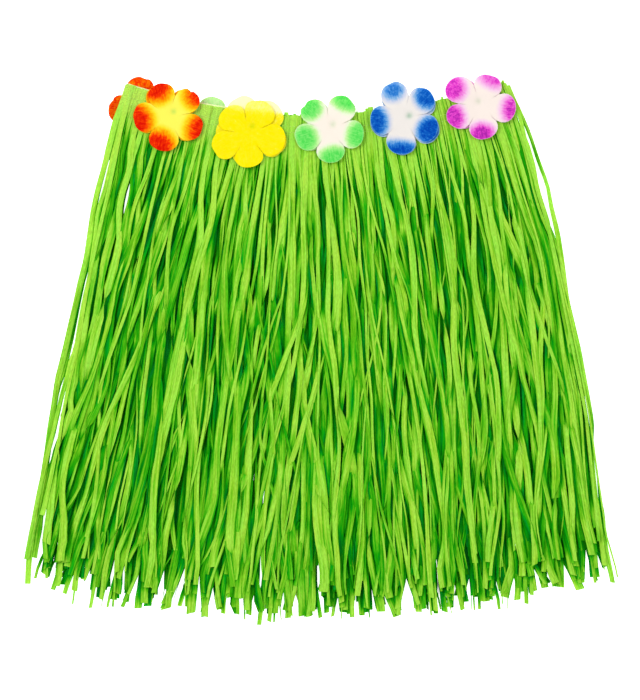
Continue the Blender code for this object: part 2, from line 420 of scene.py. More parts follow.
def lean_shift(across, down):
    """Sideways shift of a ribbon's points, from how it leans on its way down."""
    shift = 0
    for place, leans in zip(np.linspace(-1, 1, 7), LEANS.T):
        leaning = np.tan(np.radians(np.interp(LEAN_STEPS, LEAN_DOWN, leans)))
        moved = np.interp(down, LEAN_STEPS, np.cumsum(leaning) * LEAN_STEPS[1])
        shift = shift + moved * np.clip(1 - np.abs(across - place) * 3, 0, 1)
    return shift


def edge_shift(across, down):
    """Sideways shift of a ribbon's points, which grows towards the skirt's two sides."""
    left = -np.interp(down, EDGE_DOWN, LEFT_EDGE) * np.clip((-across - 0.6) / 0.4, 0, 1) ** 1.5
    right = np.interp(down, EDGE_DOWN, RIGHT_EDGE) * np.clip((across - 0.6) / 0.4, 0, 1) ** 1.5
    return left + right


# sides of the mass of ribbons, within the single ones that stand off: y, then x at each y, in millimetres
LEFT_SIDE = (
    (
        239, 221, 206, 177, 168, 146, 135, 126, 99, 76, 65, 45, 0, -9.5, -27, -50, -72, -79, -87, -105,
        -126, -145, -171, -189, -204,
    ),
    (
        -173.5, -180, -185, -192, -188, -193, -196.5, -200, -203, -205, -206.5, -210.5, -219, -222, -223.5,
        -228.5, -231, -233.6, -238.8, -242.5, -244.5, -245.4, -249.3, -248.3, -248,
    ),
)
RIGHT_SIDE = (
    (
        242, 225, 212, 204, 198, 193, 182, 166, 155, 139, 128, 117, 108, 81, 45, 0, -27, -51, -66, -91,
        -109, -135, -144, -171, -189, -204,
    ),
    (
        169.5, 175, 178, 179, 183.8, 185, 189.5, 194, 196, 199.4, 203, 206.6, 212, 218, 223, 234, 241,
        245.5, 248.5, 247.5, 248, 248, 250.5, 255, 258.5, 261.5,
    ),
)
# gaps between clumps of ribbons at the hem: apex x and y, lower end x and y, and width there, in mm
GAPS = (
    (-234, -162, -243, -211, 6), (-232, -185, -237, -217, 5), (-217, -184, -226, -225, 8),
    (-205, -192, -214, -225, 9), (-195, -182, -202, -225, 6), (-185, -186, -190, -217, 8),
    (-176, -193, -181, -225, 7), (-161, -197, -168, -225, 11), (-141, -200, -145, -223, 7),
    (-122, -196, -129, -230, 14), (-109, -204, -109.5, -230, 4.5), (-97, -214, -98, -235, 9),
    (-85, -225, -82, -235, 6), (-61, -224, -60, -235, 6), (-33, -218, -33.5, -235, 4),
    (-22.5, -222, -21, -235, 10), (16, -223, 15.5, -235, 4), (45, -208, 47, -228, 4.5),
    (58, -221, 61, -234, 5.5), (78, -206, 79, -225, 11), (104, -195, 106, -214, 2.5),
    (121, -210, 123, -228, 4.5), (134, -206, 133, -219, 3.6), (159, -212, 162, -226, 6),
    (175.5, -205, 174, -217, 3.6), (192, -196, 198, -208, 4.5), (204, -198, 206, -210, 4.5),
    (220.5, -193, 225, -211, 8), (240, -180, 243.5, -211, 9), (250.5, -184, 256, -211, 9),
)
# slits between ribbons that close again at the lower end, in the same terms
SLITS = ((-170.7, 154, -177.6, 118, 3.4), (-225.6, -50, -228.8, -61, 1.6))

MEANDERS = ((0.10, 9.0 * MM), (0.043, 2.3 * MM))  # length of the straight stretches, and their swing
WEAVE, WEAVE_STEP = 3.2 * MM, 0.070  # how deep a ribbon dips between the others, and over what length
ROLL = math.radians(22)  # how far a ribbon that isn't twisted may roll to either side
TWIST_OVER = 0.036  # the length over which a twisted ribbon turns over
GATHERED = 0.62  # how narrow a ribbon is gathered where it is sewn, as a share of its width
OPEN_OVER = 0.150  # the length over which it opens to its full width
# how far the lower ends of neighbouring ribbons go aside together, at places across the waist
CLUMP_PLACES = np.arange(-1.0, 1.001, 0.058)
CLUMP_SHIFTS = np.random.default_rng(12).uniform(-1, 1, len(CLUMP_PLACES)) * 5.5 * MM
CLUMP_SHIFTS[[0, -1]] = 0


def kept_in(x, y, half):
    """The middle line of a ribbon of the mass, kept within the mass's two sides."""
    for (heights, places), side in ((LEFT_SIDE, 1), (RIGHT_SIDE, -1)):
        edge = np.interp(-y, -np.array(heights) * MM, np.array(places) * MM) + side * half
        x = np.maximum(x, edge) if side > 0 else np.minimum(x, edge)
    return x


def parted(x, y, half, gaps):
    """A ribbon's middle line, pushed to one side of each gap that it would cover."""
    gap_x, gap_y, to_x, to_y, width = np.array(gaps).T[:, :, None] * MM
    down = (gap_y - y) / (gap_y - to_y)
    offset = x - gap_x - (to_x - gap_x) * down
    nearest = np.argmin(np.abs(down - 0.3), axis=1)
    side = np.where(offset[np.arange(len(gaps)), nearest] < 0, -1, 1)[:, None]
    shut = gaps is SLITS
    open_by = (4 * down * (1 - down) if shut else np.clip(down, 0, 1.2)).clip(0) * width / 2
    near = ease(down / 0.8 + 1) * (ease((1 - down) / 0.8 + 1) if shut else 1)
    push = np.maximum(half * near + open_by - side * offset, 0) * near
    return x + (side * push).sum(axis=0)


class Strand:
    """One raffia ribbon: its middle line seen from above, and its section at each place."""

    def __init__(
        self, rng, across, length, width, drift, top, pleat, line=None, end=None, twisted=0.0, follows=1.0
    ):
        self.down = np.concatenate([[top, 0.006, 0.014, 0.024], np.linspace(0.034, length, SECTIONS - 4)])
        loose = ease((self.down - 0.022) / 0.10)
        share = self.down / length
        place = across + drift * ease(share * 1.2) * share
        self.x, self.y = fan(place, self.down)
        self.x += lean_shift(place, self.down) * follows
        meander = sum(kinked_line(rng, self.down, step) * swing for step, swing in MEANDERS)
        inside = np.clip((1.04 - np.abs(place)) / 0.12, 0.15, 1)
        reach = rng.uniform(0.045, 0.100)
        tail = ease((self.down - length + reach) / reach)
        splay = (np.interp(place, CLUMP_PLACES, CLUMP_SHIFTS) + rng.normal(0, 4.2 * MM)) * follows
        if end is None:
            self.x += splay * tail * inside
        narrow = min(pleat, GATHERED)
        spread = narrow + (1 - narrow) * ease((self.down - 0.012) / OPEN_OVER)
        spread += (pleat - narrow) * ease((0.040 - self.down) / 0.016)
        taper = rng.choice([0.0, -0.75, 0.25], p=[0.76, 0.14, 0.10])
        uneven = 1 + 0.24 * smooth_wave(rng, self.down, 0.06) + rng.normal(0, 0.05, len(self.down))
        self.half = width / 2 * spread * uneven * (1 + taper * tail)
        self.single = line is not None
        self.base = STRAY_TONE if line else END_TONE if end is not None else None
        if line:
            heights, places, widths = np.array(line).T * MM
            self.x = np.interp(-self.y, -heights, places)
            self.half = np.interp(-self.y, -heights, widths) / 2
        else:
            self.x += meander * loose * inside * follows + edge_shift(place, self.down)
            self.x = kept_in(self.x, self.y, self.half)
            if end is not None:
                self.x += (end - self.x[-1]) * ease((self.down - length + 0.06) / 0.06)
            elif width > 2.6 * MM or rng.random() < 0.8:
                self.x = parted(self.x, self.y, self.half, GAPS)
            self.x = parted(self.x, self.y, self.half, SLITS)
        self.roll = smooth_wave(rng, self.down, 0.09) * (0 if line else ROLL) * loose
        if rng.random() < twisted:
            turn = ease((self.down - rng.uniform(0.07, length - 0.05)) / TWIST_OVER + 0.5)
            self.roll += math.pi * turn * rng.choice([-1, 1])
        self.half *= 1 - 0.6 * np.sin(self.roll) ** 2
        fold = rng.choice([-1, 1]) * rng.uniform(0.1, 0.55) * MM
        self.fold = fold * (0.25 + 0.75 * loose) * (1 + 0.5 * smooth_wave(rng, self.down, 0.05))
        self.paper = HEADING_PAPER + (PAPER - HEADING_PAPER) * ease((self.down - 0.02) / 0.05)
        self.shift = rng.uniform(0, 50, 2)
        step = np.array([np.gradient(self.x), np.gradient(self.y)])
        self.along = (step / np.hypot(*step)).T
        self.side = np.stack([-self.along[:, 1], self.along[:, 0]], axis=1)
        level_cut = -self.along[-1, 0] / self.along[-1, 1] * self.half[-1]
        self.cut = level_cut * rng.uniform(0, 1.2) + rng.normal(0, 0.10) * width
        wave = 0 if self.single else smooth_wave(rng, self.down, WEAVE_STEP)
        self.dive = WEAVE * follows * np.clip(wave * 2.4 - 0.4, 0, 1) * loose

    def lay(self, pile):
        """Drops the ribbon on the pile, as stiff as paper, and adds it to the pile."""
        fine = np.arange(0, len(self.down) - 1 + 1e-6, 0.11)
        low = np.minimum(fine.astype(int), len(self.down) - 2)
        part = fine - low

        def between(values):
            return (values[low] * (1 - part) + values[low + 1] * part)[:, None]

        reach = between(self.half * np.abs(np.cos(self.roll)) + 0.4 * MM) * np.linspace(-1, 1, 9)
        x = between(self.x) + between(self.side[:, 0]) * reach
        y = between(self.y) + between(self.side[:, 1]) * reach
        seat = np.zeros(len(self.down))
        np.maximum.at(seat, np.rint(fine).astype(int), pile.at(x, y).max(axis=1))
        rise = SLOPE_LIMIT * self.down + (SEWN_SLOPE - SLOPE_LIMIT) * np.clip(self.down, 0, SEWN_TO)
        seat = (seat[None, :] - np.abs(rise[:, None] - rise[None, :])).max(axis=1)
        for _ in range(2):
            seat = np.maximum(seat, np.convolve(np.pad(seat, 1, mode="edge"), [0.25, 0.5, 0.25], "valid"))
        stand = np.abs(np.sin(self.roll)) * self.half * 0.3
        self.z = np.maximum(seat - self.dive, 0) + stand + self.paper * 0.5 + 0.04 * MM
        pile.cover(x, y, between(self.z + self.paper * 0.5) + 0 * x)

    def points(self):
        """Each section's points, and how far across the ribbon each is."""
        across = LOOP[:, 0] * self.half[:, None]
        up = self.fold[:, None] * LOOP[:, 1] / 2 + self.paper[:, None] / 2 * LOOP[:, 2]
        cos, sin = np.cos(self.roll)[:, None], np.sin(self.roll)[:, None]
        out = across * cos - up * sin
        height = across * sin + up * cos
        made = np.zeros((len(self.down), len(LOOP), 3))
        made[..., :2] = np.stack([self.x, self.y], 1)[:, None, :] + self.side[:, None, :] * out[..., None]
        made[-1, :, :2] += self.along[-1] * (LOOP[:, 0] * self.cut)[:, None]
        made[..., 2] = np.maximum(self.z[:, None] + height, 0.00002)
        return made, across


def strands_mesh(name, strands, material):
    """Joins all ribbons of a layer into one mesh of closed thin sections, from arrays."""
    points = np.array([strand.place for strand in strands])
    uvs = np.zeros((*points.shape[:3], 2))
    for uv, strand in zip(uvs, strands):
        uv[..., 0] = strand.across + strand.shift[0]
        uv[..., 1] = strand.down[:, None] + strand.shift[1]
    numbers = np.arange(uvs.size // 2).reshape(points.shape[:3])
    faces = quads(closed(numbers)) + numbers[:, 0].tolist() + numbers[:, -1, ::-1].tolist()
    headings = ease((0.030 - np.array([strand.down for strand in strands])) / 0.012)
    headings *= np.where(points[:, :1, 0, 0] > TUFTED_FROM_X, 0.22, 1.0)
    piece = new_piece(name, points, faces, material)
    store_places(piece.data, "strand", uvs)
    # each ribbon's tone, with its painted shade
    store_values(piece.data, "tone", [strand.tone for strand in strands])
    store_values(piece.data, "heading", np.repeat(headings.ravel(), len(LOOP)))
    store_values(piece.data, "across", np.tile(LOOP[:, 0], headings.size))
    bpy.ops.object.shade_smooth_by_angle(angle=math.radians(60))
    return piece


# name of the CAD wall, how many ribbons, mean length, how ragged, and the number that seeds it
Layer = namedtuple("Layer", "node count length ragged seed")
BACK = (
    Layer("fringe_back_outer", 205, 0.450, 0.014, 31),
    Layer("fringe_back_inner", 190, 0.458, 0.014, 32),
)
FRONT = (
    Layer("fringe_front_inner", 175, 0.454, 0.015, 33),
    Layer("fringe_front_outer", 285, 0.440, 0.014, 34),
)
# single ribbons that stand off at the sides: their layer, 2 and 3 being the front ones, their length,
# and y, x and width in millimetres at places along each
Stray = namedtuple("Stray", "layer length line")
STRAYS = (
    Stray(3, 0.460, (
        (238, -172, 5.4), (220, -178, 5.4), (206.5, -183.5, 5.4), (177, -191, 5.4), (168, -193, 5.0),
        (147, -199.3, 4.8), (138, -201.4, 4.8), (123, -204.2, 4.8), (91, -208, 5.4), (74, -211.5, 5.4),
        (65.5, -214.4, 5.4), (43, -219.5, 5.4), (25.5, -224, 5.4), (0.5, -230, 5.4), (-26.5, -237, 5.4),
        (-49.5, -240, 5.4), (-68, -243, 5.2), (-91, -245.5, 5.4), (-114, -249, 5.4), (-132, -252, 5.4),
        (-150.5, -255.6, 5.4), (-160, -258.4, 5.4), (-170.5, -260, 5.4), (-188.5, -262.6, 5.4),
        (-209, -264, 5.2),
    )),
    Stray(2, 0.428, (
        (238, -171, 3.4), (168, -192.8, 3.4), (145, -199.3, 3.4), (126, -203.2, 3.4), (100, -206.6, 3.4),
        (74, -210.2, 3.4), (65.5, -213, 3.4), (45, -217.4, 3.4), (9.5, -224.3, 3.4), (-9.5, -228.6, 3.4),
        (-26.5, -233.1, 3.0), (-36, -237, 3.4), (-50, -239, 3.4), (-72, -241.6, 3.4), (-100, -245, 3.4),
        (-130, -250, 3.4), (-160, -256, 3.6), (-188, -262, 3.6),
    )),
    Stray(3, 0.437, (
        (238, -170.5, 4.2), (216, -175.5, 4.2), (194, -181, 4.2), (168, -187.6, 4.2), (146, -192.6, 4.2),
        (135, -196, 4.2), (126, -199, 4.2), (99, -202, 4.2), (65.5, -206.4, 4.2), (45.5, -211.2, 4.2),
        (0.5, -219, 4.2), (-9.5, -223.4, 4.2), (-26.5, -227.6, 4.2), (-35.5, -230.4, 4.2), (-50, -234, 4.2),
        (-62.5, -236.8, 4.2), (-75, -239.8, 4.2), (-87, -243.4, 4.2), (-105, -247.5, 4.2),
        (-126, -252.2, 4.4), (-150, -256.8, 4.6), (-175, -262, 4.8), (-188, -264.4, 5.0),
    )),
    Stray(3, 0.396, (
        (236, -168.8, 3.2), (198, -178.7, 3.2), (145, -189.5, 3.2), (99, -200, 3.2), (55, -209, 3.2),
        (0, -218, 3.2), (-31, -225.6, 3.2), (-56, -230.4, 3.0), (-67, -232.2, 3.0), (-79, -233.8, 3.2),
        (-94, -237.5, 3.2), (-108, -240.4, 3.6), (-126, -243.8, 4.2), (-139, -246.8, 4.6),
        (-150, -249.8, 4.8),
    )),
    Stray(2, 0.436, (
        (236, -168, 4.8), (150, -190, 4.8), (60, -207, 4.8), (-20, -221.5, 4.8), (-60, -228.6, 4.8),
        (-72, -231, 4.8), (-89.5, -237.7, 4.6), (-98.5, -239.7, 4.6), (-108, -243.4, 4.6),
        (-120, -246.2, 4.8), (-140, -251, 6.2), (-161, -253.6, 7.0), (-178, -256.4, 5.4),
        (-196, -258.6, 3.8),
    )),
    Stray(3, 0.443, (
        (240, 168.7, 3.0), (230, 172.8, 3.0), (222, 176.4, 3.0), (209, 182.8, 3.3), (198.5, 187.6, 3.4),
        (188, 191.8, 3.2), (177, 195.2, 3.3), (166, 199, 3.6), (149, 205.2, 3.4), (128.5, 208.5, 4.0),
        (105, 213.8, 4.8), (81, 217.6, 4.6), (45, 222.2, 4.6), (0, 233.2, 4.4), (-45, 241.5, 4.4),
        (-66, 245.4, 4.2), (-91, 244.6, 4.2), (-130, 248, 4.4), (-203, 258, 4.6),
    )),
    Stray(3, 0.420, (
        (239, 168, 3.0), (225, 174.4, 3.2), (214.5, 178, 3.6), (204, 181.6, 3.6), (198.5, 182.3, 3.8),
        (193, 183.2, 3.8), (182, 187.4, 4.0), (166, 191.9, 4.0), (150, 194.6, 4.0), (139, 197.2, 4.0),
        (128, 200.8, 4.0), (117, 204.4, 4.0), (60, 216, 3.4), (0, 228, 3.0), (-60, 240, 3.0),
        (-180, 252, 3.0),
    )),
    Stray(2, 0.459, (
        (239, 167.5, 3.4), (100, 206, 3.6), (0, 229, 3.6), (-60, 240, 3.6), (-81, 243.5, 3.4),
        (-94, 248, 2.0), (-109, 250, 1.6), (-118, 251.2, 1.7), (-136, 253, 3.2), (-145.5, 254.3, 4.8),
        (-155, 255, 5.4), (-170.5, 255.7, 6.2), (-180, 257.5, 5.6), (-197, 261.5, 4.6),
        (-208.5, 264.4, 4.2),
    )),
    Stray(3, 0.454, (
        (239, 167, 1.6), (100, 209, 1.6), (0, 231, 1.6), (-60, 243, 1.6), (-166, 257.8, 1.6),
        (-181, 262.4, 1.6), (-203, 268.8, 1.4),
    )),
)
# ribbons that end singly beyond the hem: x and y of the end, width, and how far it leans aside, in mm
ENDS = (
    (-257, -206, 2.6, -6), (-245, -205, 1.4, -2), (-241, -216, 4.6, -3), (-230.5, -220, 4.6, -1),
    (-223.5, -229.5, 1.6, 0), (-221.5, -217, 5.6, -4), (-207.5, -233, 4.0, 4), (-201, -214, 3.4, -2),
    (-194, -216, 3.4, 2), (-192, -232.5, 2.4, -7), (-187, -232, 1.8, -4), (-174, -227.5, 3.6, -1),
    (-164.5, -233.5, 5.4, -8), (-150, -226, 1.2, 0), (-147.5, -221, 2.4, 0), (-142, -223.5, 2.8, -4),
    (-137, -233, 5.0, -2), (-127, -231, 4.6, -9), (-120, -232, 2.0, -2), (-105, -235.5, 6.0, -1),
    (-91.5, -234, 3.2, 2), (-74, -238.5, 3.0, 7), (-68, -243.5, 1.6, -1), (-64.5, -239, 5.4, 0),
    (-55, -248, 4.2, -3), (-46, -245, 4.2, 0), (-41.5, -245.5, 1.8, 0), (-35, -243.5, 1.0, -1),
    (-30.5, -242.5, 2.6, -4), (-16, -240, 5.4, 0), (-10, -240.5, 5.4, 0), (6, -237.5, 5.0, 0),
    (19, -242.5, 5.4, 0), (29, -241, 4.6, -5), (38, -240, 4.2, 0), (46, -234.5, 3.2, 5),
    (52.5, -236, 4.4, -2), (65, -232, 3.6, 6), (71, -233, 4.2, 1), (86, -233.5, 2.4, 0),
    (93, -233.5, 5.8, 0), (103.5, -230, 3.6, 2), (109, -234, 2.0, 4), (119, -238, 5.0, 1),
    (137, -234, 3.0, -2), (144, -234, 2.8, -3), (162, -234.5, 3.4, 9), (165, -229.5, 1.2, 5),
    (169.5, -233.5, 1.2, 2), (186.5, -229, 3.6, 5), (191, -221, 4.6, 5), (202, -214.5, 4.4, 1),
    (210.5, -213.5, 2.0, 2), (216.5, -210, 4.6, 0), (234.5, -210.5, 4.6, 1), (248.5, -210.5, 2.8, 0),
    (-50.5, -234, 6.6, 0), (-1, -233, 5.6, 0),
)
# how much longer or shorter the ribbons are at places across the waist, in millimetres
HEM_PLACES = (-1.0, -0.8, -0.5, 0.0, 0.6, 0.8, 1.0)
HEM_CUTS = (-6, -7, -1, -1, -1, -6, -2)
# where across the waist the heading turns ragged, and how many millimetres below the band's top its
# tufts start
TUFTS_FROM = -0.25
TUFTED_FROM_X = TUFTS_FROM * WAIST_WIDTH / 2
TUFT_PLACES = (-0.25, 0.12, 0.18, 0.25, 0.62, 0.9, 1.0)
TUFT_TOPS = (1.7, 1.4, 0.2, -2.2, -2.7, -2.2, -2.4)
# up to where the heading is smooth, with its ribbons overlapping
SMOOTH_UNTIL = -0.70
# broad, middling and narrow ribbons, in millimetres, and the share of each in the front and the back
STRAND_WIDTHS = ((5.2, 7.8), (3.4, 5.2), (1.4, 3.0))
FRONT_SHARES = (0.30, 0.35, 0.35)
BACK_SHARES = (0.75, 0.20, 0.05)
# how many ribbons end well above the hem, and by how much
SHORT_SHARE = 0.08
SHORTER_BY = (0.012, 0.05)
# how far they wander across on their way down, as a share of half the waist: usually, and at most
WANDER, MOST_WANDER = 0.105, 0.26
# how many of the front ribbons are twisted
TWISTED_SHARE = 0.42


def layer_strands(layer, left, right, front):
    """A layer's ribbons in the order they are laid: evenly spaced, jittered and shuffled."""
    rng = np.random.default_rng(layer.seed)
    shares = (np.arange(layer.count) + rng.uniform(0.1, 0.9, layer.count)) / layer.count
    order = rng.permutation(layer.count)
    strands = []
    for place in left + shares[order] * (right - left):
        kind = rng.choice(3, p=FRONT_SHARES if front else BACK_SHARES)
        width = rng.uniform(*STRAND_WIDTHS[kind]) * MM
        length = layer.length - abs(rng.normal(0, layer.ragged)) + rng.normal(0, 2.5 * MM)
        length += np.interp(place, HEM_PLACES, HEM_CUTS) * MM
        if rng.random() < SHORT_SHARE:
            length -= rng.uniform(*SHORTER_BY)
        drift = float(np.clip(rng.normal(0, WANDER), -MOST_WANDER, MOST_WANDER)) * (1.0 if front else 0.3)
        drift = min(max(place + drift, left), right) - place
        tufted = front and place > TUFTS_FROM
        tuft = np.interp(place, TUFT_PLACES, TUFT_TOPS) + rng.uniform(-0.3, 0.9)
        tuft -= rng.uniform(0.8, 3.2) if rng.random() < 0.2 else 0
        top = tuft * MM if tufted else rng.uniform(0.7, 1.1) * MM
        pleat = 1.3 if place < SMOOTH_UNTIL else rng.uniform(0.5, 0.72)
        twisted, follows = (TWISTED_SHARE, 1.0) if front else (0.0, 0.4)
        strands.append(Strand(rng, place, length, width, drift, top, pleat, twisted=twisted, follows=follows))
    return strands


def ending_strand(rng, end):
    """A ribbon that runs down the fan to end at a given place."""
    x, y, width, lean = (value * MM for value in end)
    guesses = np.linspace(-1.02, 1.02, 400)
    reach = np.linspace(0.40, 0.48, 200)
    fan_x, fan_y = fan(guesses[:, None], reach[None, :])
    fan_x = fan_x + lean_shift(guesses[:, None], reach[None, :])
    near = np.argmin(np.hypot(fan_x - (x - lean), fan_y - y))
    across, length = guesses[near // len(reach)], reach[near % len(reach)]
    return Strand(rng, across, length, width, 0.0, rng.uniform(0.7, 1.1) * MM, 0.6, end=x)


# the tones of paper from the same dye bath, and the share of each; of the single ribbons at the sides
# and of those that end singly
TONES = (0.96, 0.89, 0.77, 0.60)
TONE_SHARES = (0.38, 0.28, 0.21, 0.13)
STRAY_TONE, END_TONE = 1.0, 0.87
# how far to either side of a ribbon the painted shade looks for higher ribbons
SHADE_STEPS = (1.5 * MM, 3.0 * MM, 5.0 * MM)


def shaded(tone, shade):
    """A tone made deeper by painted shade, quickly at first and then less and less."""
    return tone - 0.88 * (1 - np.exp(-shade / 0.43))


def tone_and_shade_strands(groups, pile):
    """Painted shade in the ribbons' tone: lime where a ribbon lies open to the light, deep green
    where higher ones stand beside it or lie over it.
    """
    rng = np.random.default_rng(77)
    for strand in chain(*groups):
        strand.place, strand.across = strand.points()
        x, y, z = np.moveaxis(strand.place, -1, 0)
        # painted shade from higher ribbons beside each point, and below from the pile lying over it
        shade_beside = 0
        for step in SHADE_STEPS:
            for side in (-step, step):
                above = pile.at(x + side, y) - z - 0.25 * MM
                shade_beside = shade_beside + np.clip(above / step, 0, 1.6) / 6
        cover = np.maximum(pile.at(x, y) - z - 0.5 * MM, 0)
        base = rng.choice(TONES, p=TONE_SHARES)
        base = (strand.base or base) + rng.normal(0, 0.03)
        shade_beside = shade_beside * (0.3 if strand.single else 1.0)
        upper = ease((0.15 - strand.down) / 0.09)[:, None]
        band = ease((0.042 - strand.down) / 0.022)[:, None]
        strand.open_tone = base * (1 - upper) + (1.035 + (base - 0.83) * 0.85) * upper
        # the band takes less painted shade, least on its smooth left part
        lit = 0.65 if strand.place[0, :, 0].mean() > TUFTED_FROM_X else 0.85
        shade_gain = (1.0 - lit * band) * (1 + 0.9 * upper * (1 - band))
        # the ribbon's tone, painted deeper green by this shade
        strand.tone = shaded(strand.open_tone, shade_gain * shade_beside + 0.05 * np.minimum(cover / MM, 4))


def shade_undersides(groups):
    """The faces the skirt rests on: painted shade, lime where they lie on the floor, deeper green
    further in, the higher above it they lie.
    """
    for strand in chain(*groups):
        under = shaded(strand.open_tone, 0.16 * np.maximum(strand.place[..., 2] / MM - 0.3, 0))
        strand.tone = np.where(LOOP[:, 2] < 0, under, strand.tone)


# Tape and stitches

# points along each half of the tape, round each fold and down the tape
TAPE_COLUMNS = 60
TAPE_FOLD = 6
TAPE_ROWS = 5
# its thickness, and the gap between its front and back halves
TAPE_PAPER = 0.8 * MM
TAPE_GAP = 1.9 * MM
# how far its upper edge is below the band's top, on the left and from the tufts on, and its folds'
# places across the waist
TAPE_TOP = -0.7 * MM
TAPE_LOW_TOP = 2.2 * MM
TAPE_LEFT, TAPE_RIGHT = -0.992, 0.955


def tape_mesh(pile, material):
    """The waist tape: one long ring of paper tape pressed flat, front and back, folded at both sides."""
    out = np.linspace(TAPE_LEFT, TAPE_RIGHT, TAPE_COLUMNS)
    turn = np.radians(np.linspace(-90, 90, TAPE_FOLD + 2)[1:-1])
    across = np.concatenate([out, [TAPE_RIGHT] * TAPE_FOLD, out[::-1], [TAPE_LEFT] * TAPE_FOLD])
    bulge = np.concatenate([0 * out, np.cos(turn), 0 * out, -np.cos(turn)])
    rise = np.concatenate([0 * out, (np.sin(turn) + 1) / 2, 0 * out + 1, (1 - np.sin(turn)) / 2])
    top = np.interp(across, (TUFTS_FROM - 0.1, TUFTS_FROM), (TAPE_TOP, TAPE_LOW_TOP))[:, None]
    x, y = on_waist(across[:, None], top + (BAND_HEIGHT - top) * np.linspace(0, 1, TAPE_ROWS))
    x = x + bulge[:, None] * TAPE_GAP / 2
    seat = pile.draped(4)[pile.cells(x, y)]
    level = seat.max(axis=1, keepdims=True)
    level = np.maximum(level, np.percentile(level, 60))
    z = level + TAPE_PAPER + rise[:, None] * TAPE_GAP + 0 * x
    ring = closed(np.arange(x.size).reshape(x.shape).T).T
    piece = new_piece("waist_tape_ring", np.stack([x, y, z], -1), quads(ring), material)
    thicken(piece, TAPE_PAPER)
    fine = np.linspace(TAPE_LEFT, TAPE_RIGHT, 900)
    front = np.interp(fine, out, z[TAPE_COLUMNS + TAPE_FOLD :][:TAPE_COLUMNS, 0][::-1]) + TAPE_PAPER / 2
    x, y = on_waist(fine[:, None], np.linspace(TAPE_TOP, BAND_HEIGHT, 60)[None, :])
    pile.cover(x, y, front[:, None] + 0 * x)
    return piece


def thicken(piece, thickness):
    """Gives a sheet its thickness, smooths it, and turns all its faces outwards."""
    solid = piece.modifiers.new("thickness", "SOLIDIFY")
    solid.thickness = thickness
    solid.offset = 0
    bpy.ops.object.modifier_apply(modifier=solid.name)
    bpy.ops.object.mode_set(mode="EDIT")
    bpy.ops.mesh.select_all(action="SELECT")
    bpy.ops.mesh.normals_make_consistent(inside=False)
    bpy.ops.object.mode_set(mode="OBJECT")
    bpy.ops.object.shade_smooth_by_angle(angle=math.radians(50))


# where the rows of stitches run below the band's top, and how much of the waist they cover
STITCH_ROWS = (0.0115, 0.0170)
STITCHED = 0.97
# a stitch's length, the distance to the next, and the thread's thickness
STITCH = 1.7 * MM
STITCH_PITCH = 3.2 * MM
THREAD = 0.40 * MM


def stitches_mesh(pile, material):
    """Two rows of machine stitches round the front of the band, each a short tapered thread."""
    turn = np.radians(np.arange(6) * 60 + 30)
    along = np.array([-0.5, -0.32, 0.32, 0.5]) * STITCH / WAIST_WIDTH * 2
    radii = np.array([0.35, 1.0, 1.0, 0.35])[:, None] * THREAD / 2
    cloth = pile.draped(1)
    points = []
    count = int(WAIST_WIDTH * STITCHED / STITCH_PITCH)
    for down in STITCH_ROWS:
        for number in range(count):
            x, y = on_waist(((number + 0.5) / count * 2 - 1) * STITCHED + along, down)
            z = cloth[pile.cells(x, y)].max() + 0.10 * MM
            around = x[:, None] + 0 * turn, y[:, None] + np.cos(turn) * radii, z + np.sin(turn) * radii
            points.append(np.stack(around, -1))
    numbers = np.arange(len(points) * 24).reshape(-1, 4, 6)
    faces = quads(closed(numbers)[..., ::-1]) + numbers[:, 0, ::-1].tolist() + numbers[:, 3].tolist()
    piece = new_piece("band_stitches", points, faces, material)
    bpy.ops.object.shade_smooth()
    return piece


# Flowers

# a petal's direction in degrees, its reach, its dye patch (out from the flower's middle, sideways,
# half length, half width) and its notch (place across, depth, width), in millimetres, and how strong
# the dye is
Petal = namedtuple("Petal", "angle reach patch notch strength", defaults=(None, None, 1.0))
# where a flower's middle is, across the waist and down from the band's top, how far out its slits
# reach in and where its middle is pressed in, in millimetres, its petals, and its under layer's
Flower = namedtuple("Flower", "name across down neck dimple petals under shift", defaults=((0, 0),))

PETAL_COLUMNS = 17
PETAL_ROWS = 16
PETAL_RIM = 0.972  # how far out a petal's last row but one is
SLIT_START = 10.5 * MM
CLOTH = 0.26 * MM
# how deep a flower's middle is pressed in, over what radius, and the radius of the mark there
PRESSED, PRESSED_OVER, MARKED_OVER = 0.9 * MM, 4.0 * MM, 2.6 * MM


def plain_petals(turn, reach):
    """Five like petals."""
    return [Petal(turn + 72 * step, reach, (reach - 7.5, 0.0, 9.0, 11.0)) for step in range(5)]


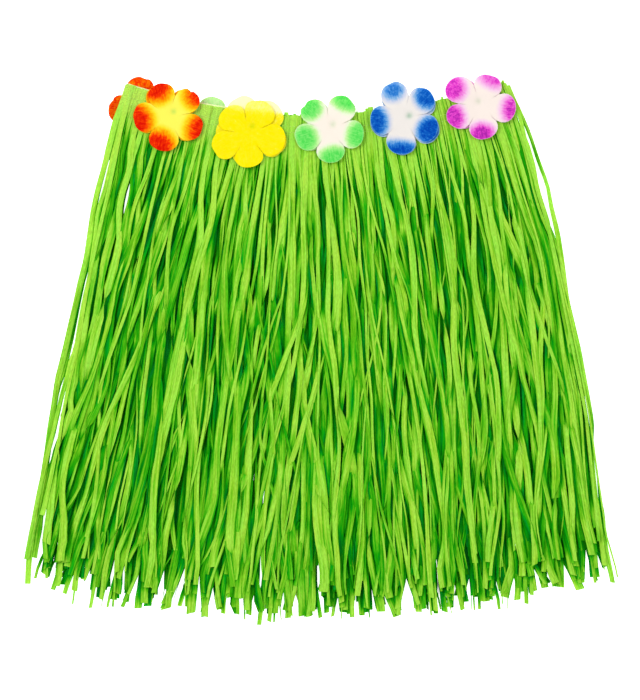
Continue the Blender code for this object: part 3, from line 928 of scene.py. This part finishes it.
FLOWERS = (
    Flower(
        "orange", -0.7530, 0.0192, 19.5, (4.9, 4.8),
        (
            Petal(104.0, 30.9, (29.0, 4.0, 14.0, 14.0)),
            Petal(40.6, 33.0, (34.0, -2.5, 13.5, 13.0), (0.28, 2.2, 0.16), 0.9),
            Petal(-21.4, 32.4, (35.0, 0.5, 16.0, 18.0)),
            Petal(-102.2, 31.2, (30.0, -4.0, 16.5, 16.0)),
            Petal(-179.0, 31.8, (32.0, 4.0, 17.5, 17.0), (0.15, 0.9, 0.22)),
        ),
        plain_petals(43, 30.0),
    ),
    Flower(
        "yellow", -0.3522, 0.0216, 22.0, (3.9, 7.0),
        (
            Petal(136.7, 30.6),
            Petal(61.7, 33.0, notch=(0.43, 1.0, 0.25)),
            Petal(-13.7, 33.8),
            Petal(-91.9, 30.4),
            Petal(-153.0, 34.6),
        ),
        plain_petals(-29, 33.0), (3.3, 3.0),
    ),
    Flower(
        "green", 0.0478, 0.0140, 19.5, (3.2, 4.6),
        (
            Petal(132.9, 32.5, (27.5, 0.0, 11.5, 11.0), (0.11, 1.8, 0.24)),
            Petal(60.4, 33.0, (30.0, 1.0, 9.0, 14.0)),
            Petal(-12.4, 31.2, (28.0, 0.5, 11.5, 14.0)),
            Petal(-86.2, 29.6, (26.5, 2.5, 10.5, 14.0)),
            Petal(-164.8, 32.0, (23.5, 2.5, 11.0, 12.5)),
        ),
        plain_petals(-14, 28.5),
    ),
    Flower(
        "blue", 0.4236, 0.0085, 19.5, (4.5, 1.9),
        (
            Petal(110.4, 33.8, (27.0, 0.5, 9.0, 10.0), strength=0.74),
            Petal(47.6, 33.4, (28.0, -3.0, 11.0, 12.0), (0.38, 1.2, 0.3), 0.9),
            Petal(-27.0, 32.6, (27.5, 0.2, 13.0, 14.0)),
            Petal(-95.6, 33.0, (32.5, 0.0, 11.0, 22.0)),
            Petal(-175.0, 31.0, (27.0, 1.7, 12.0, 15.0), strength=0.93),
        ),
        plain_petals(45, 32.0), (1.6, -1.4),
    ),
    Flower(
        "purple", 0.8080, 0.0109, 19.5, (-1.4, 4.0),
        (
            Petal(147.0, 35.5, (31.0, 0.5, 14.0, 12.5), strength=0.88),
            Petal(67.0, 29.5, (28.0, -1.0, 9.5, 14.0), strength=0.78),
            Petal(-4.7, 32.3, (31.0, -1.2, 11.5, 13.5), strength=0.9),
            Petal(-82.0, 30.4, (28.5, -2.5, 12.5, 12.5)),
            Petal(-156.7, 32.0, (28.0, -0.4, 12.0, 13.5), strength=0.95),
        ),
        plain_petals(-6, 28.0),
    ),
)
BACK_FLOWERS = (
    Flower(
        "back_orange", -0.882, 0.0195, 19.5, (0, 0),
        [petal._replace(notch=(-0.35, 1.3, 0.2)) for petal in plain_petals(28, 32.6)],
        plain_petals(30, 31.0),
    ),
    Flower("back_green", -0.534, 0.0235, 19.5, (0, 0), plain_petals(18, 32.2), plain_petals(20, 31.0)),
)


def petal_edge(petal, neck, share):
    """How far the petal reaches at each place across it, -1 and 1 being its slits."""
    reach = neck + (petal.reach - neck) * (1 - np.abs(share) ** 2.2) ** 0.7
    if petal.notch:
        place, depth, width = petal.notch
        reach = reach - depth * np.clip(1 - np.abs(share - place) / width, 0, 1)
    return reach


def sprayed(fade, paler=0.0):
    """Dye sprayed on each petal's outer part: full in its patch, fading round it over this length, and
    this much paler at the cut edge."""

    def dye_of(petal, out, side, x, y, rows):
        middle_out, middle_side, long, wide = petal.patch
        far = np.hypot((out - middle_out) / long, (side - middle_side) / wide)
        dye = np.clip(0.5 + (1 - far) * long / fade, 0, 1) * petal.strength
        return dye * (1 - paler * ease((rows - PETAL_RIM) / 0.028))

    return dye_of


def even(share):
    """Even dye, as the wrong side of the petals has."""
    return lambda petal, out, side, x, y, rows: share + 0 * out


def paled_by_floor_light(least, more, start, over):
    """Even dye, paled past the band's top by painted light: the pale floor shining through the thin
    cloth where nothing lies behind it.
    """
    return lambda petal, out, side, x, y, rows: least + more * ease((below_waist(x, y) + start) / over)


# the dyes of a flower's top and under layers, where either isn't the usual one
RIMMED = sprayed(9.5, 0.45)
LAYER_DYES = {
    "orange": (sprayed(14.0), RIMMED),
    # painted light: the yellow cloth paler past the band's top, where the floor shines through it
    "yellow": (paled_by_floor_light(0.5, 0.5, 0.003, 0.009), paled_by_floor_light(0.12, 0.7, 0.001, 0.004)),
    "back_orange": (even(0.76), even(0.76)),
    "back_green": (even(0.43), even(0.43)),
}


def petal_layer(flower, part, material, pile, rng, over_floor):
    """One cut sheet of five petals, slit between them, laid on what is under it."""
    top = part == "top"
    centre = np.array(on_waist(flower.across, flower.down))
    if not top:
        centre += np.array(flower.shift) * MM
    petals = sorted(flower.petals if top else flower.under, key=lambda petal: petal.angle)
    dye_of = LAYER_DYES.get(flower.name, (RIMMED, RIMMED))[0 if top else 1]
    angles = [petals[-1].angle - 360, *(petal.angle for petal in petals), petals[0].angle + 360]
    share = np.linspace(-1, 1, PETAL_COLUMNS)
    rows = np.append(np.linspace(0, PETAL_RIM, PETAL_ROWS - 1) ** 0.95, 1.0)
    blocks, dyes, strokes, area = [], [], [], 0.0
    for number, petal in enumerate(petals):
        spread = np.where(share < 0, petal.angle - angles[number], angles[number + 2] - petal.angle) / 2
        turn = np.radians(petal.angle + share * spread)
        wavy = smooth_wave(rng, share + 2, 0.36) * 0.55 * (1 - share**2)
        edge = (petal_edge(petal, flower.neck, share) + wavy) * MM
        area += float(np.sum((edge[1:] ** 2 + edge[:-1] ** 2) / 2 * np.diff(turn)) / 2)
        reach = rows[:, None] * edge[None, :]
        free = ease((reach - SLIT_START) / (6 * MM))
        open_by = free * np.abs(share) ** 8 * rng.uniform(0.06, 0.26) * MM
        turned = turn[None, :] - np.sign(share) * open_by / np.maximum(reach, MM)
        x = centre[0] + reach * np.cos(turned)
        y = centre[1] + reach * np.sin(turned)
        out = reach / (petal.reach * MM)
        tip = rng.uniform(-0.2, 1.0) * MM
        shape = tip * out**3 + 0.35 * MM * out**2 * (1 - share**2)
        ripple = smooth_wave(rng, share * 0.5 + 1, 0.22) * 0.45 * MM * ease(out * 1.3 - 0.2)
        shape = shape + ripple + free * share**3 * rng.choice([-1, 1]) * 0.22 * MM
        local_out = reach * np.cos(turned - math.radians(petal.angle)) / MM
        local_side = reach * np.sin(turned - math.radians(petal.angle)) / MM
        blocks.append(np.stack([x, y, shape], -1))
        strokes.append(np.stack([local_out + 60 * number, local_side], -1) * MM)
        dyes.append(dye_of(petal, local_out, local_side, x, y, rows[:, None] + 0 * reach))
    points = np.reshape(blocks, (-1, 3))
    x, y = points[:, 0], points[:, 1]
    deep = np.hypot(x - centre[0] - flower.dimple[0] * MM, y - centre[1] - flower.dimple[1] * MM)
    if over_floor:
        points[:, 2] = points[:, 2] * 0.3 + (0 if top else CLOTH + 0.3 * MM)
    else:
        points[:, 2] += PRESSED * (1 - np.exp(-((deep / PRESSED_OVER) ** 2)))
        seat = pile.draped(3)[pile.cells(x, y)]
        far = np.hypot(x - centre[0], y - centre[1])
        level = np.percentile(seat[far < 20 * MM], 35)
        points[:, 2] += np.maximum(seat, level - 0.05 * far) + CLOTH
    points[:, 2] = np.maximum(points[:, 2], CLOTH / 2 + 0.00005)
    numbers = np.arange(len(points)).reshape(5, PETAL_ROWS, PETAL_COLUMNS)
    piece = new_piece(f"petals_{flower.name}_{part}", points, quads(numbers), material)
    store_values(piece.data, "dye", dyes)
    store_values(piece.data, "middle_mark", np.exp(-((deep / MARKED_OVER) ** 2)))
    store_places(piece.data, "brush", np.array(strokes))
    bpy.ops.object.mode_set(mode="EDIT")
    bpy.ops.mesh.select_all(action="SELECT")
    bpy.ops.mesh.remove_doubles(threshold=0.02 * MM)
    bpy.ops.object.mode_set(mode="OBJECT")
    thicken(piece, CLOTH)
    spots = points.reshape(5, PETAL_ROWS, PETAL_COLUMNS, 3)
    for out in np.linspace(0, 1, 6):
        between = spots[:, :-1] * (1 - out) + spots[:, 1:] * out
        for aside in np.linspace(0, 1, 6):
            x, y, z = np.moveaxis(between[:, :, :-1] * (1 - aside) + between[:, :, 1:] * aside, -1, 0)
            pile.cover(x, y, z + CLOTH / 2)
    return piece, area


# Stage


LAMPS = (((-1.15, 0.65, 1.7), 22), ((1.25, 0.1, 1.7), 9))  # places and watts
LAMP_SIZE = 0.9
DAYLIGHT = 0.68


def make_stage():
    bpy.ops.mesh.primitive_plane_add(size=8, location=(0, 0, -0.0004))
    floor = bpy.context.active_object
    floor.name = "pale_floor"
    material, add = blank_material("plain_white_floor")
    place = add("TexCoord").outputs["Object"]
    noise = add("TexNoise", {"Vector": place, "Scale": 3.0})
    ramp = add("ValToRGB", {"Fac": noise}, ((0.3, "#FDFDFD"), (0.7, "#FFFFFF")))
    finish = {"Base Color": ramp, "Roughness": 0.9, "Specular IOR Level": 0.1}
    glow = {"Emission Color": (1, 1, 1, 1), "Emission Strength": 1.0}
    add("OutputMaterial", {"Surface": add("BsdfPrincipled", finish | glow)})
    floor.data.materials.append(material)
    floor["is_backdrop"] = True
    for place, energy in LAMPS:
        bpy.ops.object.light_add(type="AREA", location=place)
        lamp = bpy.context.active_object
        lamp.data.shape = "DISK"
        lamp.data.size = LAMP_SIZE
        lamp.data.energy = energy
        lamp.rotation_euler = (-lamp.location).to_track_quat("-Z", "Y").to_euler()
    scene = bpy.context.scene
    world = bpy.data.worlds.new("soft_studio")
    scene.world = world
    world.use_nodes = True
    back = world.node_tree.nodes["Background"]
    back.inputs["Color"].default_value = (1, 1, 1, 1)
    back.inputs["Strength"].default_value = DAYLIGHT
    scene.view_settings.view_transform = "Standard"
    scene.view_settings.look = "None"


CAMERA_HEIGHT = 2.0
SENSOR = 36
VIEW_HEIGHT = 0.630  # of the picture, at the height of the skirt's top
SUBJECT_TOP = 0.008


def make_camera():
    """Straight above, with the hem towards the bottom of the picture."""
    bpy.ops.object.camera_add(location=(0, 0, CAMERA_HEIGHT))
    camera = bpy.context.active_object
    camera.data.sensor_width = SENSOR
    camera.data.lens = SENSOR * (CAMERA_HEIGHT - SUBJECT_TOP) / VIEW_HEIGHT
    bpy.context.scene.camera = camera


# Assembly

make_stage()
make_camera()
raffia = raffia_material("crepe_paper_raffia")
tape_paper = tape_material()
cotton = thread_material()
cloths = {colour: petal_material(f"dyed_cloth_{colour}", *dye) for colour, dye in PETAL_DYES.items()}
pile = Pile((-0.30, -0.28), (0.30, 0.28))
petal_rng = np.random.default_rng(5)


def make_flower(flower, over_floor):
    """Lays a flower's two cut sheets of petals."""
    colour = flower.name.replace("back_", "")
    for part in ("top", "under") if over_floor else ("under", "top"):
        piece, area = petal_layer(flower, part, cloths[colour], pile, petal_rng, over_floor)
        stand_for(piece, f"flower_{flower.name}_{part}")


for flower in BACK_FLOWERS:
    make_flower(flower, True)
back_layers = [layer_strands(layer, -0.97, 0.975, False) for layer in BACK]
front_layers = [layer_strands(layer, -0.995, 0.975, True) for layer in FRONT]
stray_rng = np.random.default_rng(9)
for stray in STRAYS:
    across = math.copysign(0.99, stray.line[0][1])
    single = Strand(stray_rng, across, stray.length, 4 * MM, 0.0, 0.0011, 0.6, stray.line)
    front_layers[stray.layer - 2].append(single)
front_layers[0] = [ending_strand(stray_rng, end) for end in ENDS] + front_layers[0]
for strand in chain(*back_layers):
    strand.lay(pile)
tape = tape_mesh(pile, tape_paper)
stand_for(tape, "waist_tape")
for strand in chain(*front_layers):
    strand.lay(pile)
tone_and_shade_strands(back_layers + front_layers, pile)
shade_undersides(back_layers)
for layer, strands in zip(BACK + FRONT, back_layers + front_layers):
    piece = strands_mesh(layer.node.replace("fringe", "raffia"), strands, raffia)
    stand_for(piece, layer.node)
stitches = stitches_mesh(pile, cotton)
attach(stitches, "root")
for flower in FLOWERS:
    make_flower(flower, False)

new_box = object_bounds()
[[list(corner) for corner in box] for box in (cad_box, new_box)]
